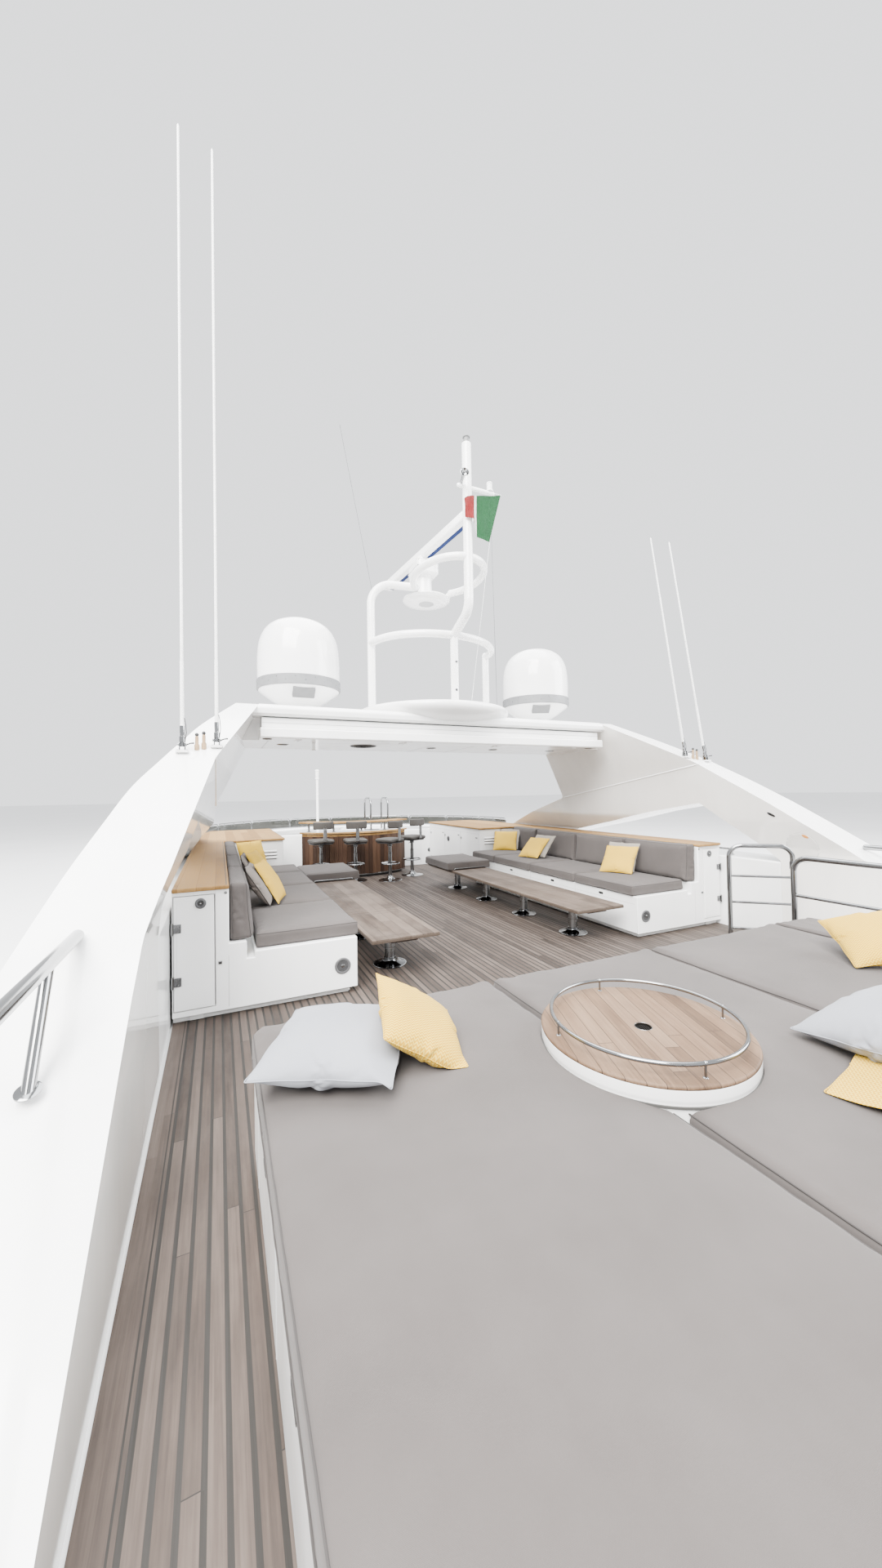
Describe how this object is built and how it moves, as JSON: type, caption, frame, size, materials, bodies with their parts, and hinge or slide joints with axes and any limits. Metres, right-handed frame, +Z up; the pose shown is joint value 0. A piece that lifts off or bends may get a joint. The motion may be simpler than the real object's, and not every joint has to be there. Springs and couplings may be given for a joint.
{
  "type": "motor yacht sun deck",
  "caption": "Motor yacht sun deck with radar arch, mast, satellite domes, facing sofas, low teak tables, curved bar, swivel stools, spa platform, sun pad and rails.",
  "frame": {"origin": "centre of the flat underside of the deck moulding, where it meets the superstructure below", "axes": "+X to starboard, +Y towards the bow, +Z up"},
  "size_m": [6.52, 13.1, 6.8078],
  "materials": {
    "gelcoat": "polished white gelcoat",
    "deck_teak": "bare weathered teak with dark caulked seams",
    "honey_teak": "varnished teak, satin",
    "table_teak": "bare weathered teak",
    "bar_wood": "oiled brown vertical planks",
    "stainless": "polished stainless",
    "cushion_fabric": "plain woven outdoor cloth",
    "pillow_yellow": "waffle weave",
    "pillow_pale": "soft plain weave",
    "stool_vinyl": "grey upholstery",
    "antenna_white": "white glass fibre",
    "tinted_glass": "smoked, polished",
    "flag_cloth": "woven bunting in red, white and green"
  },
  "bodies": {
    "sun_deck": {"deck_moulding": "gelcoat", "teak_deck": "deck_teak", "port_coaming": "gelcoat", "starboard_coaming": "gelcoat", "port_arch_leg": "gelcoat", "starboard_arch_leg": "gelcoat", "arch_crossbeam": "gelcoat", "awning_cassette": "gelcoat", "mast_frame": "gelcoat", "port_radome": "gelcoat", "starboard_radome": "gelcoat", "port_antennas": "antenna_white", "starboard_antennas": "antenna_white", "flag": "flag_cloth", "port_side_unit": "gelcoat", "starboard_side_unit": "gelcoat", "port_cabinet_top": "honey_teak", "starboard_cabinet_top": "honey_teak", "port_seat_cushions": "cushion_fabric", "starboard_seat_cushions": "cushion_fabric", "port_back_cushions": "cushion_fabric", "starboard_back_cushions": "cushion_fabric", "port_table_top": "table_teak", "starboard_table_top": "table_teak", "port_table_pedestals": "stainless", "starboard_table_pedestals": "stainless", "port_ottoman_cushion": "cushion_fabric", "starboard_ottoman_cushion": "cushion_fabric", "bar_counter": "bar_wood", "bar_top": "honey_teak", "stool_1_pedestal": "stainless", "stool_2_pedestal": "stainless", "stool_3_pedestal": "stainless", "stool_4_pedestal": "stainless", "spa_platform": "gelcoat", "spa_grab_rails": "stainless", "windscreen_glass": "tinted_glass", "windscreen_rail": "stainless", "sunpad_base": "gelcoat", "sunpad_cushions": "cushion_fabric", "round_table": "table_teak", "guard_rail": "stainless", "stair_rail": "stainless", "port_sofa_pillows_1": "pillow_yellow", "port_sofa_pillows_2": "pillow_yellow", "port_sofa_pillows_3": "pillow_yellow", "starboard_sofa_pillows_1": "pillow_yellow", "starboard_sofa_pillows_2": "pillow_yellow", "starboard_sofa_pillows_3": "pillow_yellow", "port_sunpad_pillows": "pillow_pale", "starboard_sunpad_pillows": "pillow_pale", "forward_sunpad_pillow": "pillow_yellow"},
    "radar_scanner": {"radar_scanner": "gelcoat"},
    "port_cabinet_door": {"port_cabinet_door": "gelcoat"},
    "starboard_cabinet_door": {"starboard_cabinet_door": "gelcoat"},
    "stool_1_seat": {"stool_1_seat": "stool_vinyl"},
    "stool_2_seat": {"stool_2_seat": "stool_vinyl"},
    "stool_3_seat": {"stool_3_seat": "stool_vinyl"},
    "stool_4_seat": {"stool_4_seat": "stool_vinyl"},
    "stair_gate": {"stair_gate": "stainless"}
  },
  "joints": [
    {"name": "radar_spin", "type": "hinge", "parent": "sun_deck", "child": "radar_scanner", "pos_m": [0, 0.27, 5.02], "axis": [0, 0, 1], "continuous": true},
    {"name": "port_door_hinge", "type": "hinge", "parent": "sun_deck", "child": "port_cabinet_door", "pos_m": [-2.744, -1.8, 0.87], "axis": [0, 0, -1], "range_deg": [0, 90]},
    {"name": "starboard_door_hinge", "type": "hinge", "parent": "sun_deck", "child": "starboard_cabinet_door", "pos_m": [2.744, -1.8, 0.87], "axis": [0, 0, 1], "range_deg": [0, 90]},
    {"name": "stool_1_swivel", "type": "hinge", "parent": "sun_deck", "child": "stool_1_seat", "pos_m": [-0.812, 3.2, 1.04], "axis": [0, 0, 1], "continuous": true},
    {"name": "stool_2_swivel", "type": "hinge", "parent": "sun_deck", "child": "stool_2_seat", "pos_m": [-0.25, 2.985, 1.04], "axis": [0, 0, 1], "continuous": true},
    {"name": "stool_3_swivel", "type": "hinge", "parent": "sun_deck", "child": "stool_3_seat", "pos_m": [0.31, 2.74, 1.04], "axis": [0, 0, 1], "continuous": true},
    {"name": "stool_4_swivel", "type": "hinge", "parent": "sun_deck", "child": "stool_4_seat", "pos_m": [0.85, 3.05, 1.04], "axis": [0, 0, 1], "continuous": true},
    {"name": "stair_gate_swing", "type": "hinge", "parent": "sun_deck", "child": "stair_gate", "pos_m": [2.412, -2.76, 0.41], "axis": [0, 0, 1], "range_deg": [-47, 43]}
  ]
}
